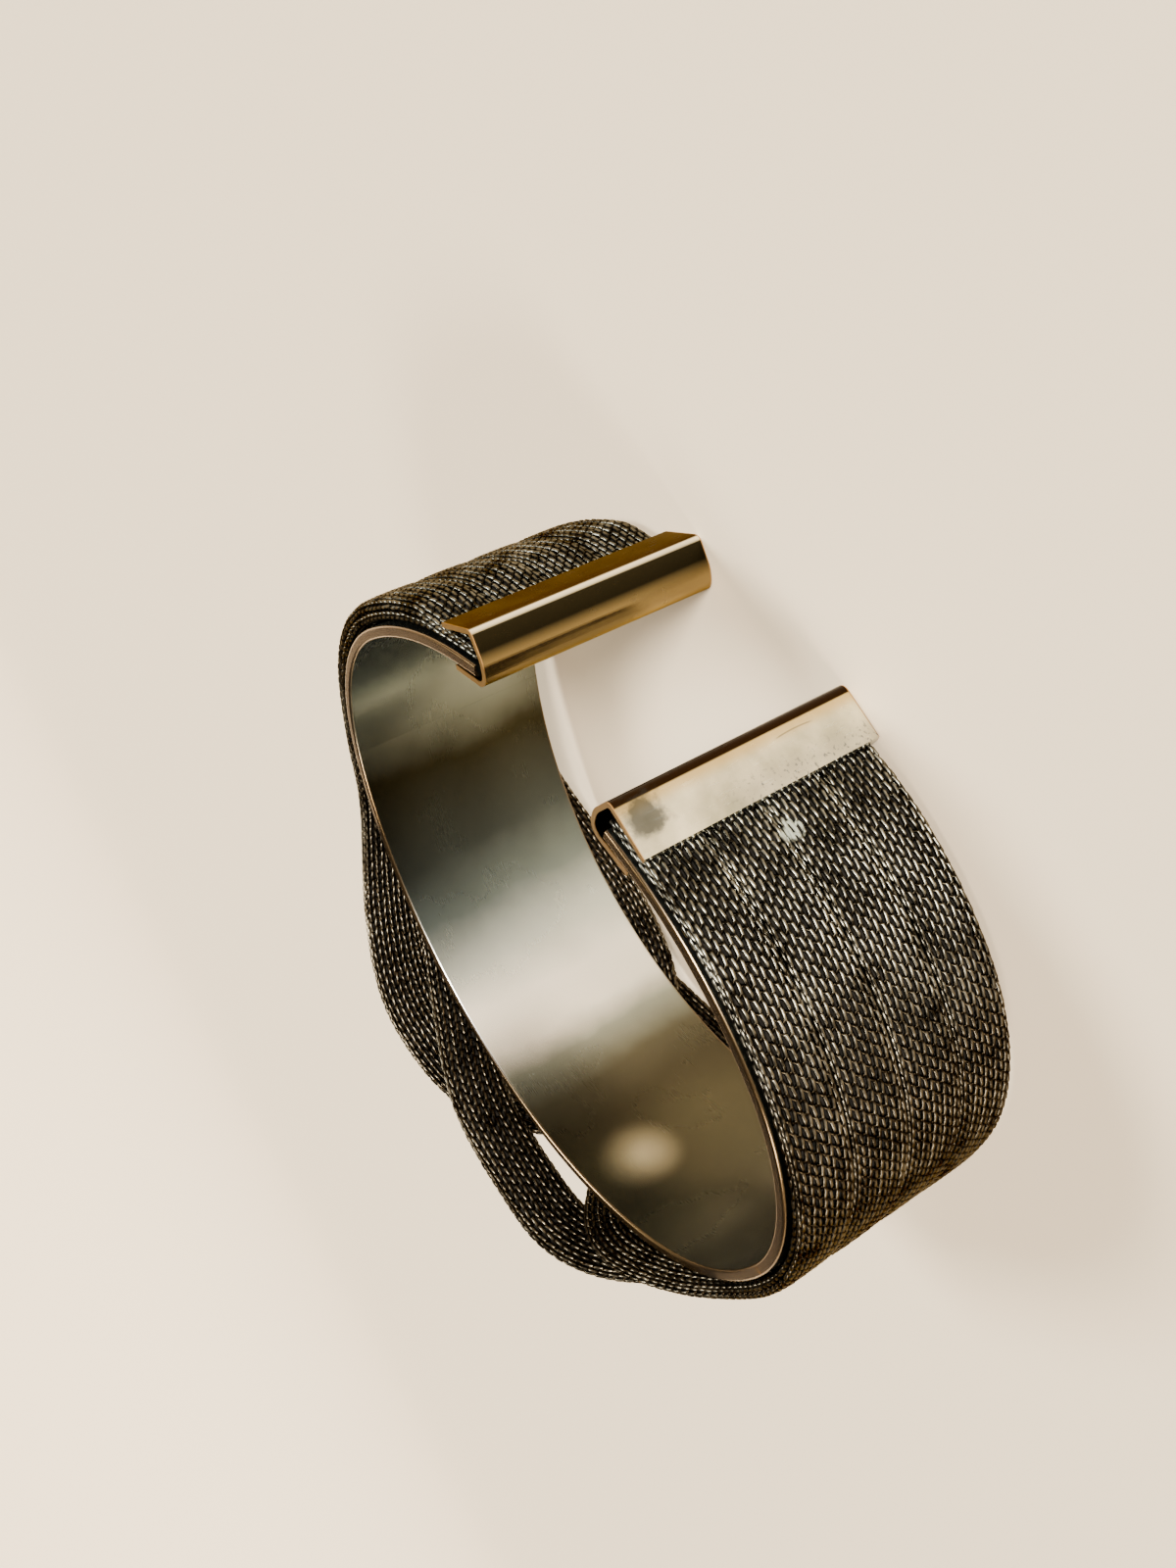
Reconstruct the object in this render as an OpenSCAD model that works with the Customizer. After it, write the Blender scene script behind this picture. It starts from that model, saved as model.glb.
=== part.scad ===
// Open cuff bracelet: a sprung metal band, four strands of wire mesh that
// are plaited together across the front, and a folded sheet cap on each end.
// The cuff lies on its side, on the plait's lower bows and on the two caps.

/* [Band] */
// Radius of the front arc, inside
front_r = 30.2; // [28:0.2:36]
// Half angle of the front arc
front_deg = 75; // [68:1:78]
// Radius of each side arc, inside
side_r = 18.6; // [15:0.2:21]
// Angle of each side arc
side_deg = 60; // [54:1:66]
// Radius of the right back arc, inside
right_back_r = 26.8; // [24:0.2:40]
// Angle of the right back arc
right_back_deg = 37; // [28:0.5:42]
// Radius of the left back arc, inside: this end is sprung further open
left_back_r = 36.2; // [24:0.2:40]
// Angle of the left back arc
left_back_deg = 28.5; // [20:0.5:40]
// Straight tail at each end of the band, inside its cap
tail_len = 1.3; // [1:0.1:3]
// Width of the band
band_w = 20; // [16:0.5:26]
// Thickness of the sheet that the band is bent from
band_t = 1; // [0.8:0.1:1.4]
// Radius along the edges of the band
band_edge_r = 0.25; // [0.1:0.05:0.35]

/* [Mesh strands] */
// Thickness of a strand in the plait
strand_t = 1.9; // [1.4:0.1:2.2]
// Thickness of a strand beside the left cap, where the mesh lies loose
left_t = 2.3; // [1.4:0.1:2.6]
// Length over which the loose mesh settles to the plait's thickness
loose_len = 34; // [20:1:40]
// Thickness of a strand on the right arm, where the mesh is drawn flat
right_t = 1.5; // [1.4:0.1:2.2]
// Thickness of a strand where a cap presses it
pressed_t = 1.3; // [1.1:0.1:1.4]
// Gap between strands that lie side by side
strand_gap = 0.15; // [0.1:0.05:0.3]
// Gap between the band and the strands on it
seat_gap = 0.15; // [0.1:0.05:0.3]
// Length over which a strand swells, past its cap
swell_len = 5; // [4:0.5:10]

/* [Plait] */
// Width of a strand in the plait
plait_strand_w = 5; // [4.4:0.1:5.4]
// How far the plait bows out past the band's upper edge
bow_top = 5.9; // [4:0.1:7]
// How far the plait bows out past the band's lower edge
bow_bottom = 4.1; // [2:0.1:5]
// Length of the plait, along the band
plait_len = 48; // [42:1:54]
// Middle of the plait, along the band from the front's centre
plait_mid = 5; // [0:0.5:7]
// Length over which the strands spread on the left
spread_left = 22; // [20:1:28]
// Length over which the strands gather on the right
spread_right = 27; // [20:1:32]
// Gap between strands that cross
cross_gap = 0.25; // [0.2:0.05:0.6]

/* [End caps] */
// Thickness of the cap's sheet
cap_sheet = 0.4; // [0.35:0.05:0.6]
// Length of the outer plate, from the closed end
cap_len = 5.4; // [5:0.1:7]
// Length of the inner leaf, from the closed end
leaf_len = 4.4; // [4:0.1:5]
// How far the cap stands past the end of the band
cap_over = 1.5; // [1.3:0.1:2.2]
// Height inside the closed end, over the band
cap_rise = 2.9; // [2.2:0.1:3.2]
// How far the fold at the plate stands back from the closed end
end_lean = 1.1; // [0.6:0.1:1.4]
// Height of the closed end's roundest place, over the band's inner face
end_swell_h = 1.7; // [1.2:0.1:2.2]
// Outside radius of that round
end_swell_r = 2.5; // [1.5:0.1:3]
// Outside radius of the fold at the plate
plate_fold_r = 0.7; // [0.5:0.05:0.9]
// Outside radius of the fold at the leaf
leaf_fold_r = 1.2; // [0.9:0.05:1.3]
// Gap between the cap and what it holds
cap_gap = 0.1; // [0.1:0.02:0.2]

/* [Hidden] */
$fn = 96;

BAND_COLOUR = "#9c9a8c";
MESH_COLOUR = "#6f6a62";
CAP_COLOUR = "#c9b98c";

// The oval: tangent arcs, front, side and back, to the right (hand = 1) and
// to the left (hand = -1) of X = 0
function outward(turn) = [sin(turn), -cos(turn)];
function forward(turn) = [cos(turn), sin(turn)];
function arc_len(r, turn) = r * turn * PI / 180;
function back_r(hand) = hand < 0 ? left_back_r : right_back_r;
function back_deg(hand) = hand < 0 ? left_back_deg : right_back_deg;

front_end = arc_len(front_r, front_deg);
side_end = front_end + arc_len(side_r, side_deg);
side_turn = front_deg + side_deg;
function back_end(hand) = side_end + arc_len(back_r(hand), back_deg(hand));
function band_end(hand) = back_end(hand) + tail_len;
function end_turn(hand) = side_turn + back_deg(hand);

front_c = [0, front_r];
side_c = front_c + (front_r - side_r) * outward(front_deg);
function back_c(hand) = side_c + (side_r - back_r(hand)) * outward(side_turn);
function back_pt(hand) = back_c(hand) + back_r(hand) * outward(end_turn(hand));
function end_pt(hand) = back_pt(hand) + tail_len * forward(end_turn(hand));

// The middle of the hollow, from the front's centre
middle_y = min(back_pt(1)[1], back_pt(-1)[1]) / 2;

// How far the side arcs and tails run into the arcs beside them, and how
// much smaller they are all round
let_in = 0.1;
hair = 0.01;
let_deg = let_in / side_r * 180 / PI;

// How far the path has turned at a distance along the band's inner face
function turn_at(d, hand) =
    d <= front_end ? d / front_r * 180 / PI
    : d <= side_end ? front_deg + (d - front_end) / side_r * 180 / PI
    : d <= back_end(hand) ? side_turn + (d - side_end) / back_r(hand) * 180 / PI
    : end_turn(hand);

// Point on the band's inner face at that distance
function face_at(d, hand) =
    let (out = outward(turn_at(d, hand)))
    d <= front_end ? front_c + front_r * out
    : d <= side_end ? side_c + side_r * out
    : d <= back_end(hand) ? back_c(hand) + back_r(hand) * out
    : back_pt(hand) + (d - back_end(hand)) * forward(end_turn(hand));

// The same for distances to the left of the front's centre, in the cuff's
// own axes, with the middle of the hollow on the Z axis
function hand_of(s) = s < 0 ? -1 : 1;
function rim_point(s) =
    let (p = face_at(abs(s), hand_of(s)))
    [hand_of(s) * p[0], p[1] - middle_y, 0];
function rim_normal(s) =
    let (out = outward(turn_at(abs(s), hand_of(s))))
    [hand_of(s) * out[0], out[1], 0];

// Strands, in the order that they leave the left cap from the upper edge
// down, with their phases in the plait, which are evenly spaced
START_PHASE = [22.5, 292.5, 112.5, 202.5];
strand_count = len(START_PHASE);
phase_step = 360 / strand_count;
// The plait runs one and a half steps from end to end
plait_turn = 1.5 * phase_step;
stations = 90;
ring_points = 14;

row_pitch = (band_w - strand_gap) / strand_count;
strand_w = row_pitch - strand_gap;
// Strands swing over and under by this much, about this height
sway_share = 1.25;
seat_share = 1.14;
plait_rise = sway_share * (strand_t + cross_gap) / 2;
plait_mid_h = seat_gap + strand_t / 2 + seat_share * plait_rise;
bow_half = (band_w + bow_top + bow_bottom - plait_strand_w) / 2;
bow_mid = (band_w + bow_top - bow_bottom) / 2;
function strand_end(hand) = band_end(hand) + cap_gap;
function plate_edge(hand) = band_end(hand) + cap_over - cap_len;

function ease(t) = let (u = min(1, max(0, t))) u * u * (3 - 2 * u);
function mix(a, b, t) = a + (b - a) * t;

// Sideways swing of a strand at a phase of the plait, flattened where it
// bows out, and its height. A strand crosses three others from edge to edge,
// over, under and over, and its three waves add up to the same height at each
bow_flat = 1 / 9;
cross_wave = 1.067;
long_wave = 0.207;
short_wave = -0.14;
function swing(phase) = (cos(phase) - bow_flat * cos(3 * phase)) / (1 - bow_flat);
function weave(phase) =
    cross_wave * sin(3 * phase) + long_wave * sin(phase) + short_wave * sin(5 * phase);

// Shares of the plait's length: how far in from its ends the strands are
// fully spread, and how far ahead of spreading they rise
left_share = 0.124;
right_share = 0.458;
rise_share = 0.19;
plait_from = plait_mid - plait_len / 2;
plait_to = plait_mid + plait_len / 2;
left_full = plait_from + left_share * plait_len;
right_full = plait_to - right_share * plait_len;
rise_lead = rise_share * plait_len;

function spread_at(s) =
    ease((s - left_full + spread_left) / spread_left)
    * (1 - ease((s - right_full) / spread_right));
function rise_at(s) =
    ease((s - left_full + spread_left + rise_lead) / spread_left)
    * (1 - ease((s - right_full - rise_lead) / spread_right));
function phase_at(i, s) =
    START_PHASE[i] + plait_turn * ease((s - plait_from) / plait_len);

// Place in the row beside a cap, from the upper edge down: how many strands
// are higher at that end of the plait
function place_in_row(i, turn) =
    len([for (phase = START_PHASE)
        if (cos(phase + turn) > cos(START_PHASE[i] + turn) + 1e-6) phase]);
LEFT_PLACE = [for (i = [0 : strand_count - 1]) place_in_row(i, 0)];
RIGHT_PLACE = [for (i = [0 : strand_count - 1]) place_in_row(i, plait_turn)];
middle_place = (strand_count - 1) / 2;

function row_z(i, s) =
    let (place = s < plait_mid ? LEFT_PLACE[i] : RIGHT_PLACE[i])
    band_w / 2 + (middle_place - place) * row_pitch;
function strand_z(i, s) =
    mix(row_z(i, s), bow_mid + bow_half * swing(phase_at(i, s)), spread_at(s));

function arm_t(s) =
    s < plait_mid ? mix(left_t, strand_t, ease((s + plate_edge(-1)) / loose_len))
    : right_t;
function thick_at(s) =
    mix(pressed_t, mix(arm_t(s), strand_t, spread_at(s)),
        ease((plate_edge(hand_of(s)) - abs(s)) / swell_len));
function strand_h(i, s) =
    mix(seat_gap + thick_at(s) / 2,
        plait_mid_h + plait_rise * weave(phase_at(i, s)), rise_at(s));
// A strand widens only when it is clear of its neighbours
function wide_at(s) = mix(strand_w, plait_strand_w, pow(spread_at(s), 2));

function strand_mid(i, s) =
    rim_point(s) + (band_t + strand_h(i, s)) * rim_normal(s)
    + [0, 0, strand_z(i, s)];

function unit(v) = v / norm(v);

// A flattened round section, square across the strand's own run
edge_power = 0.8;
function squared(c) = sign(c) * pow(abs(c), edge_power);
function strand_ring(i, s) =
    let (
        step = 0.4,
        run = unit(strand_mid(i, s + step) - strand_mid(i, s - step)),
        across = unit(cross(rim_normal(s), run)),
        up = cross(run, across)
    )
    [for (k = [0 : ring_points - 1])
        let (a = 360 * k / ring_points)
        strand_mid(i, s)
        + across * (wide_at(s) / 2 * squared(cos(a)))
        + up * (thick_at(s) / 2 * squared(sin(a)))];

function station_at(k) = mix(-strand_end(-1), strand_end(1), k / (stations - 1));

module strand_body(i) {
    rings = [for (k = [0 : stations - 1]) each strand_ring(i, station_at(k))];
    last = (stations - 1) * ring_points;
    walls = [for (k = [0 : stations - 2]) for (j = [0 : ring_points - 1])
        let (
            a = k * ring_points + j,
            b = k * ring_points + (j + 1) % ring_points
        )
        each [[a, b + ring_points, b], [a, a + ring_points, b + ring_points]]];
    first_face = [for (j = [0 : ring_points - 1]) j];
    last_face = [for (j = [0 : ring_points - 1]) last + ring_points - 1 - j];
    polyhedron(points = rings, faces = concat(walls, [first_face, last_face]));
}

// A convex outline with rounded corners, from rows of [corner, radius]
fold_steps = 8;

function beside(rows, k, by) = rows[(k + by + len(rows)) % len(rows)][0];
function rounded_corner(p, q, n, r) =
    let (
        u = unit(p - q),
        v = unit(n - q),
        half = acos(u * v) / 2,
        mid = q + unit(u + v) * r / sin(half),
        first = q + u * r / tan(half) - mid,
        last = q + v * r / tan(half) - mid
    )
    [for (k = [0 : fold_steps]) mid + r * unit(mix(first, last, k / fold_steps))];
function rounded(rows) =
    [for (k = [0 : len(rows) - 1])
        each rows[k][1] > 0
            ? rounded_corner(beside(rows, k, -1), rows[k][0],
                beside(rows, k, 1), rows[k][1])
            : [rows[k][0]]];

// The same rows, moved in by a thickness all round
function moved_in(rows, t) =
    [for (k = [0 : len(rows) - 1])
        let (
            q = rows[k][0],
            u = unit(beside(rows, k, -1) - q),
            v = unit(beside(rows, k, 1) - q)
        )
        [q + unit(u + v) * t / sin(acos(u * v) / 2), max(0, rows[k][1] - t)]];

// Side view of a cap: x runs back along the band from its end, y outwards
// from its inner face
mouth_h = band_t + seat_gap + pressed_t + cap_gap;
mouth_x = cap_len - cap_over;
leaf_x = leaf_len - cap_over;
leaf_out = -cap_gap - cap_sheet;
plate_slope = (band_t + cap_rise - mouth_h) / cap_len;

function plate_out(x) = mouth_h + cap_sheet + plate_slope * (mouth_x - x);
function cap_rows(mouth) = [
    [[mouth, plate_out(mouth)], 0],
    [[end_lean - cap_over, plate_out(end_lean - cap_over)], plate_fold_r],
    [[-cap_over, end_swell_h], end_swell_r],
    [[-cap_over, leaf_out], leaf_fold_r],
    [[mouth, leaf_out], 0]];

// Resting pose: the cuff is turned about the line through the backs of both
// caps until the lowest place of the plait is level with that line
function cap_point(p, hand) =
    let (q = end_pt(hand) - p[0] * forward(end_turn(hand))
        + p[1] * outward(end_turn(hand)))
    [hand * q[0], q[1] - middle_y, 0];
function furthest_back(points) =
    let (y = max([for (p = points) p[1]]))
    [for (p = points) if (p[1] == y) p][0];
function cap_back(hand) =
    furthest_back([for (p = rounded(cap_rows(mouth_x))) cap_point(p, hand)]);

touch_pt = cap_back(1);
touch_line = unit(touch_pt - cap_back(-1));
rest_tilt = max([
    for (i = [0 : strand_count - 1]) for (k = [0 : stations - 1])
        for (p = strand_ring(i, station_at(k)))
            atan(-p[2] / norm(cross(touch_line, [p[0], p[1], 0] - touch_pt)))]);
rest_shift = -band_w / 2 * sin(rest_tilt);

module lay_down() {
    translate(touch_pt + [0, rest_shift, 0])
        rotate(a = -rest_tilt, v = touch_line)
            translate(-touch_pt)
                children();
}

// Section of the band, with its inner face at x = r
module band_section(r, inset) {
    e = band_edge_r;
    t = band_t - 2 * inset;
    w = band_w - 2 * inset;
    translate([r + inset, inset]) {
        translate([0, e]) square([t, w - 2 * e]);
        translate([e, 0]) square([t - 2 * e, w]);
        for (x = [e, t - e]) for (y = [e, w - e])
            translate([x, y]) circle(r = e, $fn = 24);
    }
}

module band_arc(centre, r, from_turn, turn, inset) {
    translate(centre)
        rotate([0, 0, from_turn - 90])
            rotate_extrude(angle = turn)
                band_section(r, inset);
}

// The side arcs and the tails are a hair smaller all round and run a little
// way into the arcs beside them, which makes the band one solid
module band_half(hand) {
    band_arc(front_c, front_r, 0, front_deg, 0);
    band_arc(side_c, side_r, front_deg - let_deg, side_deg + 2 * let_deg, hair);
    band_arc(back_c(hand), back_r(hand), side_turn, back_deg(hand), 0);
    translate(back_pt(hand))
        rotate([0, 0, end_turn(hand)])
            translate([-let_in, 0, 0])
                rotate([90, 0, 90])
                    mirror([1, 0, 0])
                        linear_extrude(tail_len + let_in)
                            band_section(0, hair);
}

module band() {
    color(BAND_COLOUR)
        lay_down()
            translate([0, -middle_y, 0])
                union() {
                    band_half(1);
                    mirror([1, 0, 0]) band_half(-1);
                }
}

module strand(i) {
    color(MESH_COLOUR)
        lay_down()
            strand_body(i);
}

module cap_section() {
    past = 1;
    difference() {
        polygon(rounded(cap_rows(mouth_x)));
        polygon(rounded(moved_in(cap_rows(mouth_x + past), cap_sheet)));
        translate([leaf_x, leaf_out - past])
            square([cap_len, cap_sheet + past + cap_gap / 2]);
    }
}

module cap(hand) {
    color(CAP_COLOUR)
        lay_down()
            mirror([hand < 0 ? 1 : 0, 0, 0])
                translate(end_pt(hand) - [0, middle_y])
                    rotate([0, 0, end_turn(hand) + 180])
                        linear_extrude(band_w)
                            cap_section();
}

band();
strand(0);  // strand_1
strand(1);  // strand_2
strand(2);  // strand_3
strand(3);  // strand_4
cap(-1);  // cap_left
cap(1);  // cap_right
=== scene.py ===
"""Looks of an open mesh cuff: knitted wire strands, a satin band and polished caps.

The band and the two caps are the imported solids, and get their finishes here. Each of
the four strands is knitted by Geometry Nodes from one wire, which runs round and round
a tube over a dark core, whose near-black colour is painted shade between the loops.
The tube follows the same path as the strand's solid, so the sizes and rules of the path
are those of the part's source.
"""

import math

import bmesh
import bpy
from mathutils import Matrix, Vector


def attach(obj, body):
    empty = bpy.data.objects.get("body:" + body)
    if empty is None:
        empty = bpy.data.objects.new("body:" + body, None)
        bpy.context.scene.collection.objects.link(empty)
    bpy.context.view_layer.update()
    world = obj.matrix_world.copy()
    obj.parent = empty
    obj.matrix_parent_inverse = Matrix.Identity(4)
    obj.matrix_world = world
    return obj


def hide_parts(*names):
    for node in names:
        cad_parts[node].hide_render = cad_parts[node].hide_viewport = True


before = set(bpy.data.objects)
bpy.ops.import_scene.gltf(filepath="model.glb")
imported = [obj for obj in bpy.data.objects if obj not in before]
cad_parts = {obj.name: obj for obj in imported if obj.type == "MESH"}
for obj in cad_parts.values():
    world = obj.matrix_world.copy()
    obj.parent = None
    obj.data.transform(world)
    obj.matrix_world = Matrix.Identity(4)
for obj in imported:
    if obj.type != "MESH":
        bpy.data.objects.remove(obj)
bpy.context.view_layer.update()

MM = 0.001

# Sizes of the cuff, in mm and degrees. A hand is 1 on the right cap's side of the
# oval and -1 on the left cap's side.
HANDS = (1, -1)
FRONT_R, FRONT_DEG = 30.2, 75
SIDE_R, SIDE_DEG = 18.6, 60
BACK_R = {1: 26.8, -1: 36.2}
BACK_DEG = {1: 37, -1: 28.5}
TAIL_LEN = 1.3
BAND_W, BAND_T = 20, 1
CAP_LEN, CAP_OVER, CAP_RISE = 5.4, 1.5, 2.9

# The strands' thickness in the plait, at the two caps and pressed inside them
STRAND_T, LEFT_T, RIGHT_T, PRESSED_T = 1.9, 2.3, 1.5, 1.3
LOOSE_LEN, SWELL_LEN = 34, 5
STRAND_GAP, SEAT_GAP, CROSS_GAP, CAP_GAP = 0.15, 0.15, 0.25, 0.1

# The plait: how far it bows past the band's edges, and where it opens and closes
PLAIT_STRAND_W = 5
BOW_TOP, BOW_BOTTOM = 5.9, 4.1
PLAIT_LEN, PLAIT_MID = 48, 5
SPREAD_LEFT, SPREAD_RIGHT = 22, 27
LEFT_SHARE, RIGHT_SHARE, RISE_SHARE = 0.124, 0.458, 0.19
START_PHASE = (22.5, 292.5, 112.5, 202.5)
STRANDS = len(START_PHASE)
PLAIT_TURN = 1.5 * 360 / STRANDS
SWAY_SHARE, SEAT_SHARE = 1.25, 1.14
BOW_FLAT = 1 / 9
CROSS_WAVE, LONG_WAVE, SHORT_WAVE = 1.067, 0.207, -0.14
# Added to a strand's own height in the row, so that it never counts as above itself
LEVEL = 1e-6

# How the cuff lies: turned about the line through the backs of its caps
REST_TILT, REST_SHIFT = 4.34871, -0.758265
TOUCH_POINT = Vector((8.3433, 28.0248, 0))
TOUCH_LINE = Vector((0.995558, -0.0941553, 0))


def outward(turn):
    a = math.radians(turn)
    return Vector((math.sin(a), -math.cos(a), 0))


def forward(turn):
    a = math.radians(turn)
    return Vector((math.cos(a), math.sin(a), 0))


def arc_len(r, turn):
    return r * math.radians(turn)


FRONT_END = arc_len(FRONT_R, FRONT_DEG)
SIDE_END = FRONT_END + arc_len(SIDE_R, SIDE_DEG)
SIDE_TURN = FRONT_DEG + SIDE_DEG
BACK_END = {h: SIDE_END + arc_len(BACK_R[h], BACK_DEG[h]) for h in HANDS}
BAND_END = {h: BACK_END[h] + TAIL_LEN for h in HANDS}
END_TURN = {h: SIDE_TURN + BACK_DEG[h] for h in HANDS}
FRONT_C = Vector((0, FRONT_R, 0))
SIDE_C = FRONT_C + (FRONT_R - SIDE_R) * outward(FRONT_DEG)
BACK_C = {h: SIDE_C + (SIDE_R - BACK_R[h]) * outward(SIDE_TURN) for h in HANDS}
BACK_PT = {h: BACK_C[h] + BACK_R[h] * outward(END_TURN[h]) for h in HANDS}
END_PT = {h: BACK_PT[h] + TAIL_LEN * forward(END_TURN[h]) for h in HANDS}
MIDDLE_Y = min(BACK_PT[h].y for h in HANDS) / 2


def hand_of(s):
    return -1 if s < 0 else 1


def turn_at(d, hand):
    """Which way the band faces, d along it from the front's centre."""
    if d <= FRONT_END:
        return math.degrees(d / FRONT_R)
    if d <= SIDE_END:
        return FRONT_DEG + math.degrees((d - FRONT_END) / SIDE_R)
    if d <= BACK_END[hand]:
        return SIDE_TURN + math.degrees((d - SIDE_END) / BACK_R[hand])
    return END_TURN[hand]


def face_at(d, hand):
    """Where the band's inner face runs, drawn on the right for either hand."""
    out = outward(turn_at(d, hand))
    if d <= FRONT_END:
        return FRONT_C + FRONT_R * out
    if d <= SIDE_END:
        return SIDE_C + SIDE_R * out
    if d <= BACK_END[hand]:
        return BACK_C[hand] + BACK_R[hand] * out
    return BACK_PT[hand] + (d - BACK_END[hand]) * forward(END_TURN[hand])


def rim_point(s):
    """Point on the band's inner face, s along it from the front's centre."""
    p = face_at(abs(s), hand_of(s))
    return Vector((hand_of(s) * p.x, p.y - MIDDLE_Y, 0))


def rim_normal(s):
    out = outward(turn_at(abs(s), hand_of(s)))
    return Vector((hand_of(s) * out.x, out.y, 0))


ROW_PITCH = (BAND_W - STRAND_GAP) / STRANDS
STRAND_W = ROW_PITCH - STRAND_GAP
PLAIT_RISE = SWAY_SHARE * (STRAND_T + CROSS_GAP) / 2
PLAIT_MID_H = SEAT_GAP + STRAND_T / 2 + SEAT_SHARE * PLAIT_RISE
BOW_HALF = (BAND_W + BOW_TOP + BOW_BOTTOM - PLAIT_STRAND_W) / 2
BOW_MID = (BAND_W + BOW_TOP - BOW_BOTTOM) / 2
PLAIT_FROM = PLAIT_MID - PLAIT_LEN / 2
PLAIT_TO = PLAIT_MID + PLAIT_LEN / 2
LEFT_FULL = PLAIT_FROM + LEFT_SHARE * PLAIT_LEN
RIGHT_FULL = PLAIT_TO - RIGHT_SHARE * PLAIT_LEN
RISE_LEAD = RISE_SHARE * PLAIT_LEN
STRAND_END = {h: BAND_END[h] + CAP_GAP for h in HANDS}
PLATE_EDGE = {h: BAND_END[h] + CAP_OVER - CAP_LEN for h in HANDS}


def ease(t):
    u = min(1, max(0, t))
    return u * u * (3 - 2 * u)


def mix(a, b, t):
    return a + (b - a) * t


def cos_deg(a):
    return math.cos(math.radians(a))


def sin_deg(a):
    return math.sin(math.radians(a))


def swing(phase):
    """A strand's sway across the band: a wave with flattened turns."""
    return (cos_deg(phase) - BOW_FLAT * cos_deg(3 * phase)) / (1 - BOW_FLAT)


def weave(phase):
    """A strand's rise and dip over and under the others it crosses."""
    long = LONG_WAVE * sin_deg(phase)
    return long + CROSS_WAVE * sin_deg(3 * phase) + SHORT_WAVE * sin_deg(5 * phase)


def spread_at(s):
    """How far the row has opened to the plait: nought on the arms, one in it."""
    opened = ease((s - LEFT_FULL + SPREAD_LEFT) / SPREAD_LEFT)
    return opened * (1 - ease((s - RIGHT_FULL) / SPREAD_RIGHT))


def rise_at(s):
    opened = ease((s - LEFT_FULL + SPREAD_LEFT + RISE_LEAD) / SPREAD_LEFT)
    return opened * (1 - ease((s - RIGHT_FULL - RISE_LEAD) / SPREAD_RIGHT))


def phase_at(i, s):
    return START_PHASE[i] + PLAIT_TURN * ease((s - PLAIT_FROM) / PLAIT_LEN)


def place_in_row(i, turn):
    mine = cos_deg(START_PHASE[i] + turn) + LEVEL
    return sum(cos_deg(phase + turn) > mine for phase in START_PHASE)


def row_z(i, s):
    place = place_in_row(i, 0 if s < PLAIT_MID else PLAIT_TURN)
    return BAND_W / 2 + ((STRANDS - 1) / 2 - place) * ROW_PITCH


def strand_z(i, s):
    return mix(row_z(i, s), BOW_MID + BOW_HALF * swing(phase_at(i, s)), spread_at(s))


def arm_t(s):
    if s >= PLAIT_MID:
        return RIGHT_T
    return mix(LEFT_T, STRAND_T, ease((s + PLATE_EDGE[-1]) / LOOSE_LEN))


def thick_at(s):
    swollen = ease((PLATE_EDGE[hand_of(s)] - abs(s)) / SWELL_LEN)
    return mix(PRESSED_T, mix(arm_t(s), STRAND_T, spread_at(s)), swollen)


def wide_at(s):
    return mix(STRAND_W, PLAIT_STRAND_W, spread_at(s) ** 2)


def strand_h(i, s):
    woven = PLAIT_MID_H + PLAIT_RISE * weave(phase_at(i, s))
    return mix(SEAT_GAP + thick_at(s) / 2, woven, rise_at(s))


def strand_mid(i, s):
    """The middle of strand i beside the place s along the band."""
    lifted = rim_point(s) + (BAND_T + strand_h(i, s)) * rim_normal(s)
    return lifted + Vector((0, 0, strand_z(i, s)))


def lay_down():
    turned = Matrix.Rotation(math.radians(-REST_TILT), 4, TOUCH_LINE)
    back = Matrix.Translation(-TOUCH_POINT)
    return Matrix.Translation(TOUCH_POINT + Vector((0, REST_SHIFT, 0))) @ turned @ back


LAID = lay_down()


def laid_point(p):
    """A point in the cuff's own axes and mm, in the scene's metres."""
    return (LAID @ p) * MM


def laid_run(v):
    """A direction in the cuff's own axes, in the scene's."""
    return LAID.to_3x3() @ v


CUFF_START = laid_point(Vector((0, 0, 0)))
CUFF_AXES = tuple(laid_run(Vector(way)) for way in ((1, 0, 0), (0, 1, 0), (0, 0, 1)))


def add(tree, kind, inputs=None, **settings):
    """A node with its settings and its inputs, which are values or sockets."""
    made = tree.nodes.new(kind)
    for key, value in settings.items():
        setattr(made, key, value)
    for key, value in (inputs or {}).items():
        socket = made.inputs[key]
        if isinstance(value, bpy.types.NodeSocket):
            tree.links.new(value, socket)
        else:
            socket.default_value = value
    return made


def math_node(tree, operation, *values):
    numbered = dict(enumerate(values))
    return add(tree, "ShaderNodeMath", numbered, operation=operation).outputs[0]


def combine(tree, x, y, z):
    return add(tree, "ShaderNodeCombineXYZ", {0: x, 1: y, 2: z}).outputs[0]


def vector_node(tree, operation, *values):
    numbered = dict(enumerate(values))
    return add(tree, "ShaderNodeVectorMath", numbered, operation=operation).outputs


def scaled(tree, vector, share):
    inputs = {0: vector, "Scale": share}
    return add(tree, "ShaderNodeVectorMath", inputs, operation="SCALE").outputs[0]


def along_way(tree, start, way):
    """Distance in mm of the shaded place from a start point, along a way."""
    place = add(tree, "ShaderNodeTexCoord").outputs["Object"]
    gone = vector_node(tree, "DOT_PRODUCT", place, way)["Value"]
    return math_node(
        tree, "SUBTRACT", math_node(tree, "MULTIPLY", gone, 1 / MM), start.dot(way) / MM
    )


def cuff_place(tree, squeeze=(1, 1, 1)):
    """The shaded place in the cuff's own axes, in mm, each axis scaled."""
    parts = [
        math_node(tree, "MULTIPLY", along_way(tree, CUFF_START, way), share)
        for way, share in zip(CUFF_AXES, squeeze)
    ]
    return combine(tree, *parts)


def distance_from(tree, place, point):
    return vector_node(tree, "DISTANCE", place, point)["Value"]


def near_point(tree, place, point, reach):
    """One at a point, falling evenly to nothing at a distance from it."""
    gone = math_node(tree, "DIVIDE", distance_from(tree, place, point), reach)
    return math_node(tree, "SUBTRACT", 1, gone)


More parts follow.
